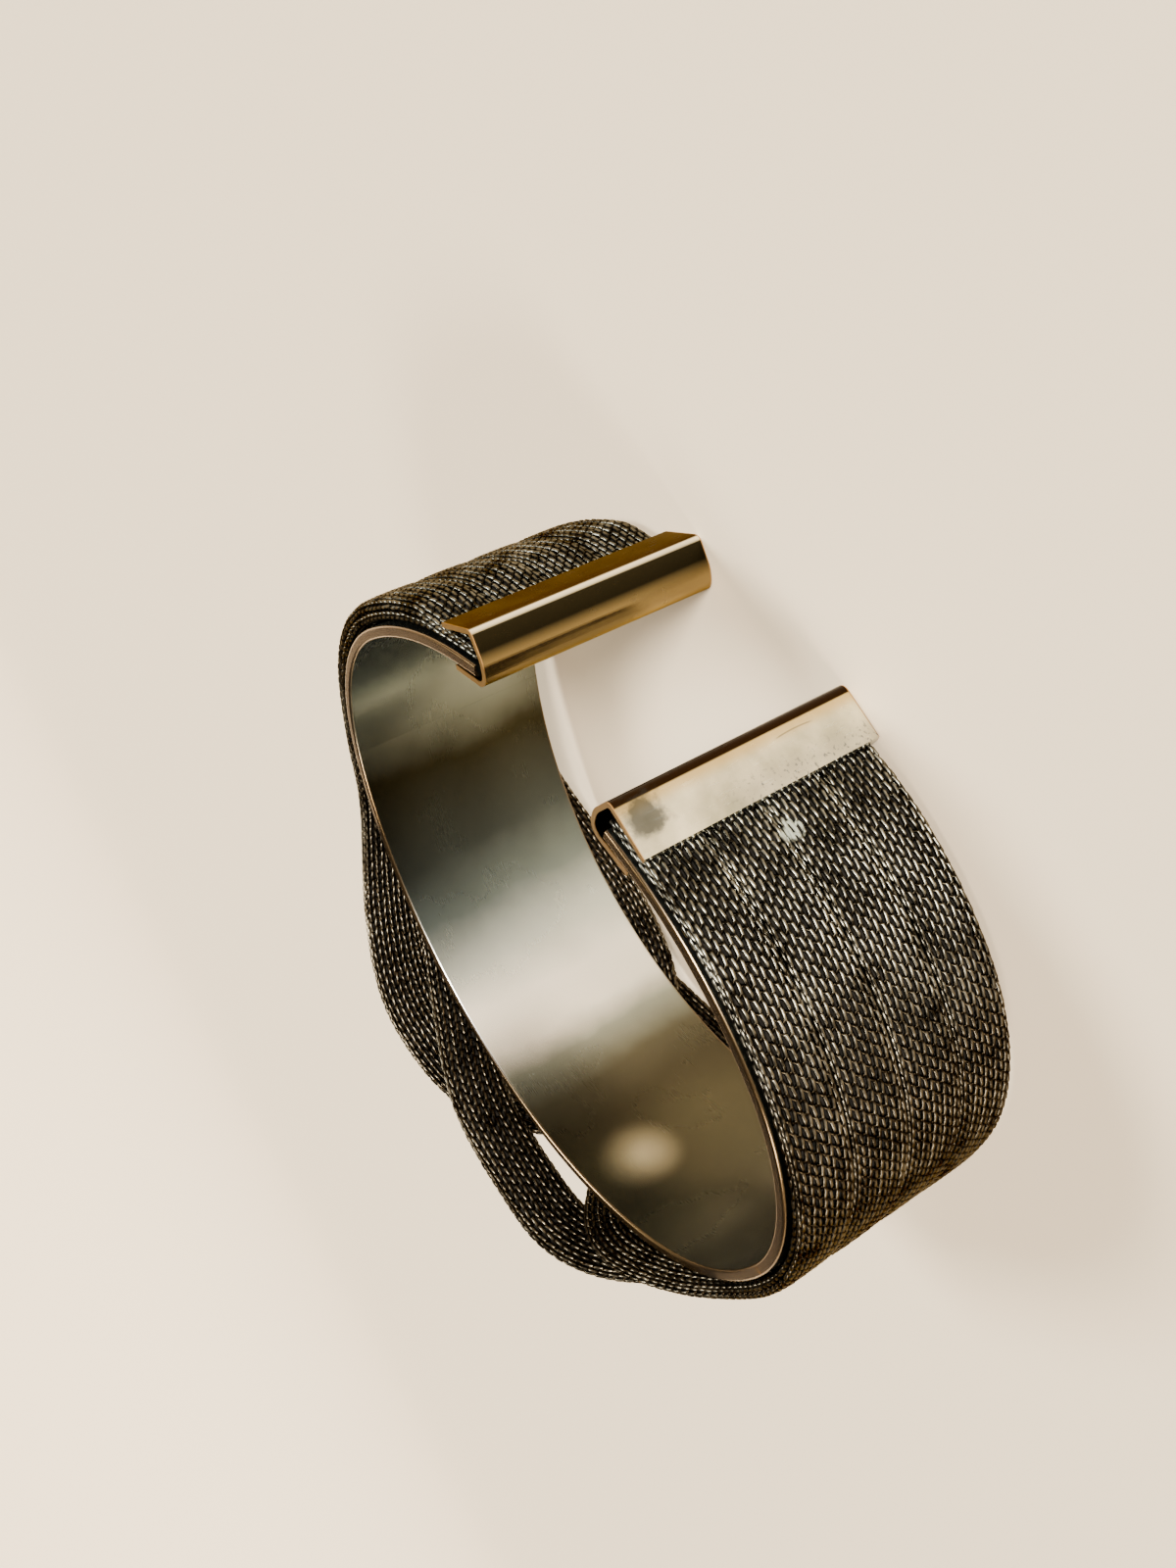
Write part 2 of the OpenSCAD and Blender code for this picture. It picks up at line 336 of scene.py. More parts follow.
def after_mark(tree, value, start, end):
    """Nought before a start, one past an end, smooth between them."""
    inputs = {"Value": value, "From Min": start, "From Max": end}
    made = add(tree, "ShaderNodeMapRange", inputs, interpolation_type="SMOOTHSTEP")
    return made.outputs["Result"]


def before_mark(tree, value, start, end):
    """One before a start, nought past an end, smooth between them."""
    return math_node(tree, "SUBTRACT", 1, after_mark(tree, value, start, end))


def mix_colour(tree, share, first, second):
    """From the first colour to the second, each a colour or a socket."""
    given = [
        colour if isinstance(colour, bpy.types.NodeSocket) else (*colour, 1)
        for colour in (first, second)
    ]
    # A Mix node's colours are its seventh and eighth inputs, and its third output
    inputs = {0: share, 6: given[0], 7: given[1]}
    return add(tree, "ShaderNodeMix", inputs, data_type="RGBA").outputs[2]


def noise(tree, place, scale, detail):
    inputs = {"Vector": place, "Scale": scale, "Detail": detail}
    return add(tree, "ShaderNodeTexNoise", inputs).outputs["Fac"]


def ramp(tree, value, stops):
    """A colour for a value, from stops of a place and a colour each."""
    made = add(tree, "ShaderNodeValToRGB", {"Fac": value})
    elements = made.color_ramp.elements
    while len(elements) < len(stops):
        elements.new(0.5)
    for element, (where, colour) in zip(elements, stops):
        element.position = where
        element.color = (*colour, 1)
    return made.outputs["Color"]


def new_finish(name):
    made = bpy.data.materials.new(name)
    made.use_nodes = True
    made.node_tree.nodes.clear()
    return made, made.node_tree


def finish_shader(tree, inputs):
    shader = add(tree, "ShaderNodeBsdfPrincipled", inputs)
    add(tree, "ShaderNodeOutputMaterial", {"Surface": shader.outputs[0]})


# The wire's plating by wear and painted shade: dark in the hollows, as tarnish and
# painted shade, worn bright on the loops' crowns.
# Noise scales here and below are in noise cells a mm.
SILVER_WEAR_AND_SHADE = (
    (0.0, (0.003, 0.0026, 0.0018)),
    (0.7, (0.016, 0.0145, 0.0105)),
    (1.0, (0.25, 0.245, 0.205)),
)
BRONZE_WEAR_AND_SHADE = (
    (0.0, (0.003, 0.0018, 0.0007)),
    (0.7, (0.011, 0.0066, 0.0028)),
    (1.0, (0.085, 0.062, 0.035)),
)
PATINA_SCALE, PATINA_SHARE = 0.42, 0.7
# How far from the caps the wire goes brown, in mm, and how ragged that line is
BROWN_FROM, BROWN_TO, BROWN_SHARE = 13, 36, 0.8
GRIME_SCALE, GRIME_REACH = 0.11, 16
WIRE_DULL, WIRE_DULL_VARIES = 0.2, 0.2
WIRE_EDGE_TINT = (0.42, 0.38, 0.31, 1)

# The pale residue on the mesh, in the cuff's own axes, in mm
RESIDUE_S, RESIDUE_Z, RESIDUE_R = 71.6, 9.6, 1.3
RESIDUE_COLOUR, RESIDUE_DULL = (0.22, 0.235, 0.19), 0.8
CRUMB_SCALE, CRUMB_SHARE = 1.6, 0.9
CRUST_FROM, CRUST_TO = 0.68, 0.92


def residue_point():
    h = BAND_T + SEAT_GAP + RIGHT_T
    up = Vector((0, 0, RESIDUE_Z))
    return rim_point(RESIDUE_S) + h * rim_normal(RESIDUE_S) + up


def from_caps(tree, place):
    """Distance in mm from the nearer of the band's two ends."""
    half_up = Vector((0, 0, BAND_W / 2))
    gone = [
        distance_from(tree, place, rim_point(hand * BAND_END[hand]) + half_up)
        for hand in HANDS
    ]
    return math_node(tree, "MINIMUM", *gone)


def wire_finish():
    made, tree = new_finish("antique silver wire")
    place = cuff_place(tree)
    crown = add(tree, "ShaderNodeAttribute", attribute_name="crown").outputs["Fac"]
    patina = noise(tree, place, PATINA_SCALE, detail=4)
    shift = math_node(tree, "MULTIPLY_ADD", patina, PATINA_SHARE, -PATINA_SHARE / 2)
    # The loops' height sets both wear and painted shade: low wire is painted dark
    worn = math_node(tree, "ADD", crown, shift)
    silver = ramp(tree, worn, SILVER_WEAR_AND_SHADE)
    bronze = ramp(tree, worn, BRONZE_WEAR_AND_SHADE)
    grime = noise(tree, place, GRIME_SCALE, detail=2)
    gone = math_node(tree, "MULTIPLY_ADD", grime, GRIME_REACH, from_caps(tree, place))
    browned = after_mark(tree, gone, BROWN_FROM, BROWN_TO)
    browned = math_node(tree, "MULTIPLY", browned, BROWN_SHARE)
    colour = mix_colour(tree, browned, silver, bronze)

    crust = near_point(tree, place, residue_point(), RESIDUE_R)
    crumbs = noise(tree, place, CRUMB_SCALE, detail=3)
    crust = math_node(tree, "MULTIPLY_ADD", crumbs, CRUMB_SHARE, crust)
    crusted = after_mark(tree, crust, CRUST_FROM, CRUST_TO)
    colour = mix_colour(tree, crusted, colour, RESIDUE_COLOUR)

    dull = math_node(tree, "MULTIPLY_ADD", patina, WIRE_DULL_VARIES, WIRE_DULL)
    crust_dull = math_node(tree, "MULTIPLY", crusted, RESIDUE_DULL)
    finish_shader(
        tree,
        {
            "Base Color": colour,
            "Metallic": math_node(tree, "SUBTRACT", 1, crusted),
            "Roughness": math_node(tree, "MAXIMUM", dull, crust_dull),
            "Specular Tint": WIRE_EDGE_TINT,
        },
    )
    return made


# The dark inner side of the tube, seen between the loops: its near-black colour is
# painted shade
CORE_CELLS = 1.1
CORE_PAINTED_SHADE = ((0.0, (0.012, 0.010, 0.008)), (0.6, (0.004, 0.0034, 0.0026)))
CORE_DULL, CORE_GLOSS = 0.9, 0.1


def core_finish():
    made, tree = new_finish("inner loops in painted shade")
    inputs = {"Vector": cuff_place(tree), "Scale": CORE_CELLS}
    cells = add(tree, "ShaderNodeTexVoronoi", inputs)
    finish_shader(
        tree,
        {
            "Base Color": ramp(tree, cells.outputs["Distance"], CORE_PAINTED_SHADE),
            "Metallic": 0.0,
            "Roughness": CORE_DULL,
            "Specular IOR Level": CORE_GLOSS,
        },
    )
    return made


# The band's inside has painted reflections, bright and dark zones of colour round it,
# from its left end
# to its right one: distance along it in mm, with the colour there
BAND_PAINTED_REFLECTIONS = (
    (-78, (0.09, 0.10, 0.09)),
    (-56, (0.085, 0.09, 0.073)),
    (-45, (0.30, 0.33, 0.28)),
    (-35, (0.028, 0.024, 0.010)),
    (-26, (0.055, 0.065, 0.062)),
    (-20, (0.17, 0.21, 0.215)),
    (-14, (0.60, 0.66, 0.66)),
    (-10, (1.0, 1.0, 1.0)),
    (-6, (1.0, 1.0, 0.98)),
    (-3, (0.30, 0.33, 0.30)),
    (1, (0.10, 0.095, 0.068)),
    (5, (0.065, 0.058, 0.038)),
    (10, (0.09, 0.082, 0.052)),
    (34, (0.055, 0.054, 0.034)),
    (50, (0.045, 0.043, 0.03)),
    (78, (0.10, 0.105, 0.095)),
)
# The painted reflections' borders drift by this share of the way round
CLOUD_SCALE, CLOUD_DRIFT = 0.16, 0.02

# A small warm painted highlight on the band: along the band, up it and its size, in mm
PAINTED_HIGHLIGHT_S, PAINTED_HIGHLIGHT_Z, PAINTED_HIGHLIGHT_R = 11, 14.5, 4.6
PAINTED_HIGHLIGHT_FADE = 1.2
PAINTED_HIGHLIGHT_COLOUR = (0.86, 0.78, 0.56)

# A painted orange reflection at the band's two edges, in a brassy brown
EDGE_SHOWS = 0.3
EDGE_BRASSY_REFLECTION = (0.20, 0.12, 0.05)

SMUDGE_SCALE = 0.09
# The polish runs lengthwise: grain that is long round the band and fine across it
GRAIN_SQUEEZE = (0.06, 0.06, 9)
BAND_DULL, SMUDGE_DULL, GRAIN_DULL = 0.17, 0.16, 0.02


def share_round(s):
    """Where a place along the band lies round the hollow, from nought to one."""
    p = rim_point(s)
    return math.atan2(p.x, -p.y) / math.tau + 0.5


def band_finish():
    made, tree = new_finish("satin band metal")
    place = cuff_place(tree)
    parts = add(tree, "ShaderNodeSeparateXYZ", {"Vector": place}).outputs
    ahead = math_node(tree, "MULTIPLY", parts["Y"], -1)
    angle = math_node(tree, "ARCTAN2", parts["X"], ahead)
    round_share = math_node(tree, "MULTIPLY_ADD", angle, 1 / math.tau, 0.5)
    cloud = noise(tree, place, CLOUD_SCALE, detail=3)
    round_share = math_node(tree, "MULTIPLY_ADD", cloud, CLOUD_DRIFT, round_share)
    round_share = math_node(tree, "SUBTRACT", round_share, CLOUD_DRIFT / 2)
    # Painted reflections: bright and dark zones of colour round the band's inside
    painted_zones = [(share_round(s), colour) for s, colour in BAND_PAINTED_REFLECTIONS]
    colour = ramp(tree, round_share, painted_zones)

    # A warm painted highlight, a bright patch of colour on the band's inside
    glow = rim_point(PAINTED_HIGHLIGHT_S) + Vector((0, 0, PAINTED_HIGHLIGHT_Z))
    highlighted = near_point(tree, place, glow, PAINTED_HIGHLIGHT_R)
    highlighted = after_mark(tree, highlighted, 0.0, PAINTED_HIGHLIGHT_FADE)
    colour = mix_colour(tree, highlighted, colour, PAINTED_HIGHLIGHT_COLOUR)

    # The band's two edges get a painted brassy reflection
    z = along_way(tree, CUFF_START, CUFF_AXES[2])
    low_edge = before_mark(tree, z, 0.0, EDGE_SHOWS)
    high_edge = after_mark(tree, z, BAND_W - EDGE_SHOWS, BAND_W)
    edge = math_node(tree, "MAXIMUM", low_edge, high_edge)
    colour = mix_colour(tree, edge, colour, EDGE_BRASSY_REFLECTION)

    smudge = noise(tree, place, SMUDGE_SCALE, detail=4)
    grain = noise(tree, cuff_place(tree, GRAIN_SQUEEZE), 1.0, detail=3)
    dull = math_node(tree, "MULTIPLY_ADD", smudge, SMUDGE_DULL, BAND_DULL)
    dull = math_node(tree, "MULTIPLY_ADD", grain, GRAIN_DULL, dull)
    finish_shader(tree, {"Base Color": colour, "Metallic": 1.0, "Roughness": dull})
    return made


# The right cap is bright, and the left one darker. The plate's gold goes by its
# smudges, and the painted reflections and highlight of the closed end by the height
# from its inner fold out.
CAP_NAME = {1: "polished pale gold", -1: "darker pale gold"}
PLATE_GOLD = {
    1: ((0.3, (0.36, 0.37, 0.29)), (0.7, (1.0, 0.97, 0.80))),
    -1: ((0.3, (0.075, 0.058, 0.036)), (0.7, (0.14, 0.108, 0.066))),
}
END_PAINTED_REFLECTION = {
    1: (
        (0.0, (0.03, 0.016, 0.006)),
        (0.6, (0.012, 0.006, 0.002)),
        (1.0, (0.016, 0.008, 0.003)),
    ),
    -1: (
        (0.0, (0.30, 0.21, 0.085)),
        (0.40, (0.26, 0.19, 0.08)),
        (0.58, (0.08, 0.062, 0.028)),
        (0.66, (0.010, 0.0085, 0.0045)),
        (0.92, (0.017, 0.0145, 0.0075)),
        (0.945, (0.70, 0.66, 0.50)),
        (0.97, (1.0, 0.94, 0.78)),
        (0.99, (0.16, 0.115, 0.055)),
    ),
}
CAP_EDGE_TINT = {1: (1, 1, 1, 1), -1: (0.36, 0.32, 0.25, 1)}
CAP_SMUDGE_SCALE = 0.22
# The painted reflection on the closed end starts this far inside the band's inner face
# and is this tall, in mm
END_BELOW, END_TALL = 0.6, 4.6
# Where it fades out on the plate, in mm back from the closed end
END_REFLECTION_FADE = {1: (1.7, 1.85), -1: (1.25, 1.4)}

# Yellower gold beside the closed end, where the plating has worn
WORN_GOLD = {1: (0.56, 0.42, 0.16), -1: (0.075, 0.055, 0.031)}
WORN_FADE, WORN_SHARE = (1.9, 3.0), 0.8

# The sheet's cut edges, at the cap's two sides, are bare brown brass
CUT_BRASS = (0.42, 0.25, 0.10)
CUT_FROM, CUT_TO = 0.02, 0.12

PLATE_DULL, SMUDGED_DULL, CUT_DULL, BLOT_DULL, SCRATCH_DULL = 0.1, 0.2, 0.2, 0.25, 0.12

# Marks on the caps' plates: distances in mm back from the closed end (down), then
# across from the upper edge (over)
BLOT_PLACE, BLOT_R = (3.0, 1.7, 0), 2.4
BLOT_SCALE, BLOT_RAGGED = 0.9, 1.2
BLOT_FROM, BLOT_TO, BLOT_SHARE = 0.75, 1.25, 0.85
BLOT_COLOUR = (0.022, 0.023, 0.022)
# The strip along the plate's open edge stays clear of the blot
STRIP_FROM, STRIP_FADE = 4.2, 0.3

SPECKLE_SCALE, SPECKLE_FROM, SPECKLE_TO = 3.2, 0.56, 0.68
SPECKLE_DOWN, SPECKLE_OVER = (3.0, 4.8), (6, 10)
SPECKLE_SHARE, SPECKLE_SHADE = 0.5, 0.4
SPECKLE_COLOUR = (0.11, 0.13, 0.16)

# Fine scratches run across the plate, and one longer one is an arc
SCRATCH_SCALE, SCRATCH_THIN = 0.6, 6
SCRATCH_FROM, SCRATCH_TO = 0.62, 0.66
ARC_R, ARC_MIDDLE = 14, {1: (16.3, 14.5, 0), -1: (16.6, 8, 0)}
ARC_OVER = {1: 14.5, -1: 8}
ARC_THIN, ARC_HALF, ARC_SHARE = (0.03, 0.07), (1.2, 1.8), 0.6
ARC_COLOUR = (0.11, 0.09, 0.06)
SCRATCH_DEPTH, SCRATCH_STRENGTH = 0.004, 0.5


def cap_axes(hand):
    """A cap's corner where its end meets the plate, and its plate's three ways."""
    end = END_PT[hand] + CAP_OVER * forward(END_TURN[hand])
    out = outward(END_TURN[hand])
    corner = end + (BAND_T + CAP_RISE) * out
    flip = Vector((hand, 1, 1))
    place = corner * flip + Vector((0, -MIDDLE_Y, BAND_W))
    back = -forward(END_TURN[hand]) * flip
    ways = (back, Vector((0, 0, -1)), out * flip)
    return laid_point(place), *(laid_run(way) for way in ways)


def cut_edges(tree, over):
    """One on the sheet's cut edges at the cap's two sides, nought between."""
    top_side = before_mark(tree, over, CUT_FROM, CUT_TO)
    low_side = after_mark(tree, over, BAND_W - CUT_TO, BAND_W - CUT_FROM)
    return math_node(tree, "MAXIMUM", top_side, low_side)


def grey_blot(tree, flat, down):
    """How strongly the plate is blotted, with a ragged edge."""
    blot = near_point(tree, flat, BLOT_PLACE, BLOT_R)
    ragged = noise(tree, flat, BLOT_SCALE, detail=4)
    blot = math_node(tree, "MULTIPLY_ADD", ragged, BLOT_RAGGED, blot)
    blotted = after_mark(tree, blot, BLOT_FROM, BLOT_TO)
    clear = before_mark(tree, down, STRIP_FROM, STRIP_FROM + STRIP_FADE)
    return math_node(tree, "MULTIPLY", blotted, clear)


def blue_speckles(tree, flat, down, over):
    """How strongly the plate is shaded and speckled near its open edge."""
    zone = after_mark(tree, down, *SPECKLE_DOWN)
    zone = math_node(tree, "MULTIPLY", zone, after_mark(tree, over, *SPECKLE_OVER))
    speckle = noise(tree, flat, SPECKLE_SCALE, detail=2)
    speckled = after_mark(tree, speckle, SPECKLE_FROM, SPECKLE_TO)
    speckled = math_node(tree, "MULTIPLY", speckled, zone)
    shade = math_node(tree, "MULTIPLY", zone, SPECKLE_SHADE)
    return math_node(tree, "MULTIPLY_ADD", speckled, SPECKLE_SHARE, shade)


def fine_scratches(tree, down, over):
    """One on fine scratches, long across the plate and thin."""
    thin = math_node(tree, "MULTIPLY", down, SCRATCH_THIN)
    fine = noise(tree, combine(tree, thin, over, 0), SCRATCH_SCALE, detail=4)
    return after_mark(tree, fine, SCRATCH_FROM, SCRATCH_TO)


def arc_scratch(tree, flat, over, hand):
    """One on the cap's single longer scratch."""
    gone = distance_from(tree, flat, ARC_MIDDLE[hand])
    off = math_node(tree, "ABSOLUTE", math_node(tree, "SUBTRACT", gone, ARC_R))
    line = before_mark(tree, off, *ARC_THIN)
    ends = math_node(tree, "SUBTRACT", over, ARC_OVER[hand])
    ends = math_node(tree, "ABSOLUTE", ends)
    return math_node(tree, "MULTIPLY", line, before_mark(tree, ends, *ARC_HALF))


def cap_finish(hand):
    made, tree = new_finish(CAP_NAME[hand])
    corner, *ways = cap_axes(hand)
    down, over, high = (along_way(tree, corner, way) for way in ways)
    flat = combine(tree, down, over, 0)
    smudge = noise(tree, flat, CAP_SMUDGE_SCALE, detail=5)
    colour = ramp(tree, smudge, PLATE_GOLD[hand])
    worn = before_mark(tree, down, *WORN_FADE)
    worn = math_node(tree, "MULTIPLY", worn, WORN_SHARE)
    colour = mix_colour(tree, worn, colour, WORN_GOLD[hand])

    # The closed end gets painted reflections: dark bands and a bright highlight line,
    # by height
    share = math_node(tree, "ADD", high, BAND_T + CAP_RISE + END_BELOW)
    share = math_node(tree, "DIVIDE", share, END_TALL)
    ended = ramp(tree, share, END_PAINTED_REFLECTION[hand])
    on_end = before_mark(tree, down, *END_REFLECTION_FADE[hand])
    colour = mix_colour(tree, on_end, colour, ended)

    cut = cut_edges(tree, over)
    colour = mix_colour(tree, cut, colour, CUT_BRASS)
    dull = math_node(tree, "MULTIPLY_ADD", smudge, SMUDGED_DULL, PLATE_DULL)
    dull = math_node(tree, "MULTIPLY_ADD", cut, CUT_DULL, dull)
    if hand > 0:
        blotted = grey_blot(tree, flat, down)
        blot_share = math_node(tree, "MULTIPLY", blotted, BLOT_SHARE)
        colour = mix_colour(tree, blot_share, colour, BLOT_COLOUR)
        speckled = blue_speckles(tree, flat, down, over)
        colour = mix_colour(tree, speckled, colour, SPECKLE_COLOUR)
        dull = math_node(tree, "MULTIPLY_ADD", blotted, BLOT_DULL, dull)

    scratched = fine_scratches(tree, down, over)
    dull = math_node(tree, "MULTIPLY_ADD", scratched, SCRATCH_DULL, dull)
    line = arc_scratch(tree, flat, over, hand)
    line = math_node(tree, "MULTIPLY", line, ARC_SHARE)
    colour = mix_colour(tree, line, colour, ARC_COLOUR)
    relief = add(
        tree,
        "ShaderNodeBump",
        {
            "Height": math_node(tree, "SUBTRACT", smudge, scratched),
            "Distance": SCRATCH_DEPTH * MM,
            "Strength": SCRATCH_STRENGTH,
        },
    )
    finish_shader(
        tree,
        {
            "Base Color": colour,
            "Metallic": 1.0,
            "Roughness": dull,
            "Specular Tint": CAP_EDGE_TINT[hand],
            "Normal": relief.outputs["Normal"],
        },
    )
    return made


WIRE = wire_finish()
CORE = core_finish()

# The knit: one wire, 12 loops a round, in mm or in shares of a loop
WIRE_R, WIRE_SIDES = 0.15, 5
WALES, ROW_LEN, STITCH_POINTS = 12, 0.97, 8
LOOP_REACH, LOOP_SWING, LOOP_DEPTH = 0.8, 0.08, 0.13
LEG_STAGGER, UNEVENNESS = 0.7, 0.1
# How far below the strand's face the highest wire lies, and the core
WIRE_BELOW, CORE_DEPTH = 0.03, 0.55
# How fast the unevenness drifts from loop to loop, and how far apart seeds lie in it
DRIFT_PACE, SEED_STEP = 0.83, 37.7
# The wire keeps this share of a strand's length from the guide's two ends
END_MARGIN = 0.0005
# Points of the core this close are the two sides of its seam
SEAM_GAP = 0.002

GUIDE_STATIONS, GUIDE_SIDES = 200, 28
# The guide's seam runs along the strand's underside
SEAM_TURN = -90
# How far either side of a place its direction is measured, in mm
RUN_STEP = 0.4
# How square a strand's section is: flat on the arms, rounder in the plait
ARM_POWER, PLAIT_POWER = 0.45, 0.7
# How much wider the loose knit lies than the strand, on the arms and plaited
ARM_OVER, PLAIT_OVER = 0.2, 0.9
# The extra width lies inwards, except for a little at the outermost strand
OUTER_ROOM = 1


def squared(c, power):
    return math.copysign(abs(c) ** power, c)


def section_frame(i, s):
    """A strand's own ways at a place: along it, across it and out of its face."""
    ahead, behind = strand_mid(i, s + RUN_STEP), strand_mid(i, s - RUN_STEP)
    run = (ahead - behind).normalized()
    across = rim_normal(s).cross(run).normalized()
    return run, across, run.cross(across)


def section_ring(i, s, mid):
    """The outline of a strand's section, from the seam round to the seam."""
    run, across, up = section_frame(i, s)
    power = mix(ARM_POWER, PLAIT_POWER, spread_at(s))
    over = mix(ARM_OVER, PLAIT_OVER, spread_at(s))
    wide = wide_at(s) + over
    inwards = over / 2 * (mid.z - BOW_MID) / (BOW_HALF + OUTER_ROOM)
    mid = mid - Vector((0, 0, inwards))
    ring = []
    for j in range(GUIDE_SIDES + 1):
        a = math.radians(360 * j / GUIDE_SIDES + SEAM_TURN)
        x, y = squared(math.cos(a), power), squared(math.sin(a), power)
        ring.append(mid + across * (wide / 2 * x) + up * (thick_at(s) / 2 * y))
    return ring, run


def guide_mesh(i):
    """The outside of a strand: its UV runs along and round it, by length."""
    mesh = bpy.data.meshes.new(f"strand_{i + 1}_guide")
    points, lifts, uvs = [], [], []
    along, before = 0.0, None
    for k in range(GUIDE_STATIONS):
        s = mix(-STRAND_END[-1], STRAND_END[1], k / (GUIDE_STATIONS - 1))
        mid = strand_mid(i, s)
        along += (mid - before).length if before else 0.0
        before = mid
        ring, run = section_ring(i, s, mid)
        steps = [(ring[j + 1] - ring[j]).length for j in range(GUIDE_SIDES)]
        total, gone = sum(steps), 0.0
        for j in range(GUIDE_SIDES + 1):
            after = ring[(j + 1) % GUIDE_SIDES]
            prior = ring[(j - 1) % GUIDE_SIDES]
            points.append(laid_point(ring[j]))
            lifts.append(laid_run((after - prior).cross(run).normalized()))
            uvs.append((along, gone / total))
            gone += steps[j] if j < GUIDE_SIDES else 0.0
    row = GUIDE_SIDES + 1
    faces = [
        (k * row + j, (k + 1) * row + j, (k + 1) * row + j + 1, k * row + j + 1)
        for k in range(GUIDE_STATIONS - 1)
        for j in range(GUIDE_SIDES)
    ]
    mesh.from_pydata(points, [], faces)
    lift = mesh.attributes.new("lift", "FLOAT_VECTOR", "POINT")
    lift.data.foreach_set("vector", [c for v in lifts for c in v])
    layer = mesh.uv_layers.new(name="run_round")
    for loop in mesh.loops:
        u, v = uvs[loop.vertex_index]
        layer.data[loop.index].uv = (u / along, v)
    return mesh, along


def knit_tree():
    """Knits one wire, round and round a tube, on the tube's own surface."""
    tree = bpy.data.node_groups.new("knitted tube", "GeometryNodeTree")
    face = tree.interface
    for name, kind in (
        ("Tube", "Geometry"),
        ("Rows", "Int"),
        ("Wales", "Float"),
        ("Points a stitch", "Int"),
        ("Wire sides", "Int"),
        ("Wire radius", "Float"),
        ("Loop reach", "Float"),
        ("Loop swing", "Float"),
        ("Loop depth", "Float"),
        ("Leg stagger", "Float"),
        ("Wire below", "Float"),
        ("Unevenness", "Float"),
        ("Core depth", "Float"),
        ("Seed", "Int"),
        ("Wire", "Material"),
        ("Core", "Material"),
    ):
        face.new_socket(name, in_out="INPUT", socket_type="NodeSocket" + kind)
    face.new_socket("Knit", in_out="OUTPUT", socket_type="NodeSocketGeometry")
    given = tree.nodes.new("NodeGroupInput").outputs

    def calc(operation, *values):
        return math_node(tree, operation, *values)

    stitches = calc("MULTIPLY", given["Rows"], given["Wales"])
    count = calc("MULTIPLY_ADD", stitches, given["Points a stitch"], 1)
    line = add(tree, "GeometryNodeMeshLine", {"Count": count})
    wire = add(tree, "GeometryNodeMeshToCurve", {"Mesh": line.outputs["Mesh"]})

    index = add(tree, "GeometryNodeInputIndex").outputs[0]
    stitch = calc("DIVIDE", index, given["Points a stitch"])
    turn = calc("MULTIPLY", stitch, math.tau)

    # Uneven loops: slow drifts in how far each reaches and leans
    seeded = calc("MULTIPLY", given["Seed"], SEED_STEP)
    seeded = calc("MULTIPLY_ADD", stitch, DRIFT_PACE, seeded)
    drift = add(
        tree,
        "ShaderNodeTexNoise",
        {"W": seeded, "Scale": 1.0, "Detail": 1.0},
        noise_dimensions="1D",
    )
    parts = add(tree, "FunctionNodeSeparateColor", {"Color": drift.outputs["Color"]})

    def uneven(channel):
        centred = calc("MULTIPLY_ADD", parts.outputs[channel], 2, -1)
        return calc("MULTIPLY", centred, given["Unevenness"])

    reach = calc("MULTIPLY", calc("COSINE", turn), given["Loop reach"])
    twice = calc("SINE", calc("MULTIPLY", turn, 2))
    lean = calc("MULTIPLY", twice, given["Loop swing"])
    # The legs lie outermost, the left ones a little further on than the right
    # ones, and heads and feet pass under the rows beside them
    bowed = calc("COSINE", calc("MULTIPLY_ADD", turn, 2, given["Leg stagger"]))
    height = calc("MULTIPLY", bowed, -1)

    rows_gone = calc("DIVIDE", stitch, given["Wales"])
    row = calc("ADD", calc("ADD", rows_gone, reach), uneven("Red"))
    u = calc("DIVIDE", row, given["Rows"])
    u = calc("MINIMUM", calc("MAXIMUM", u, END_MARGIN), 1 - END_MARGIN)
    wale = calc("ADD", calc("ADD", stitch, lean), uneven("Green"))
    v = calc("FRACT", calc("DIVIDE", wale, given["Wales"]))
    where = combine(tree, u, v, 0)

    def named(name):
        kind = "GeometryNodeInputNamedAttribute"
        return add(tree, kind, {"Name": name}, data_type="FLOAT_VECTOR").outputs[0]

    def sampled(value):
        return add(
            tree,
            "GeometryNodeSampleUVSurface",
            {
                "Mesh": given["Tube"],
                "Value": value,
                "UV Map": named("run_round"),
                "Sample UV": where,
            },
            data_type="FLOAT_VECTOR",
        ).outputs["Value"]

    surface = sampled(add(tree, "GeometryNodeInputPosition").outputs[0])
    lift = sampled(named("lift"))

    sunk = calc("ADD", given["Wire below"], given["Wire radius"])
    sunk = calc("ADD", sunk, given["Loop depth"])
    rise = calc("SUBTRACT", calc("MULTIPLY", height, given["Loop depth"]), sunk)
    rises = combine(tree, rise, rise, rise)
    raised = vector_node(tree, "MULTIPLY_ADD", lift, rises, surface)[0]
    placed = add(
        tree,
        "GeometryNodeSetPosition",
        {"Geometry": wire.outputs["Curve"], "Position": raised},
    )
    crown = calc("MULTIPLY_ADD", height, 0.5, 0.5)
    marked = add(
        tree,
        "GeometryNodeStoreNamedAttribute",
        {"Geometry": placed.outputs[0], "Name": "crown", "Value": crown},
        data_type="FLOAT",
        domain="POINT",
    )
    round_wire = add(
        tree,
        "GeometryNodeCurvePrimitiveCircle",
        {"Resolution": given["Wire sides"], "Radius": given["Wire radius"]},
    )
    drawn = add(
        tree,
        "GeometryNodeCurveToMesh",
        {
            "Curve": marked.outputs[0],
            "Profile Curve": round_wire.outputs["Curve"],
            "Fill Caps": True,
        },
    )
    wired = add(
        tree,
        "GeometryNodeSetMaterial",
        {"Geometry": drawn.outputs[0], "Material": given["Wire"]},
    )

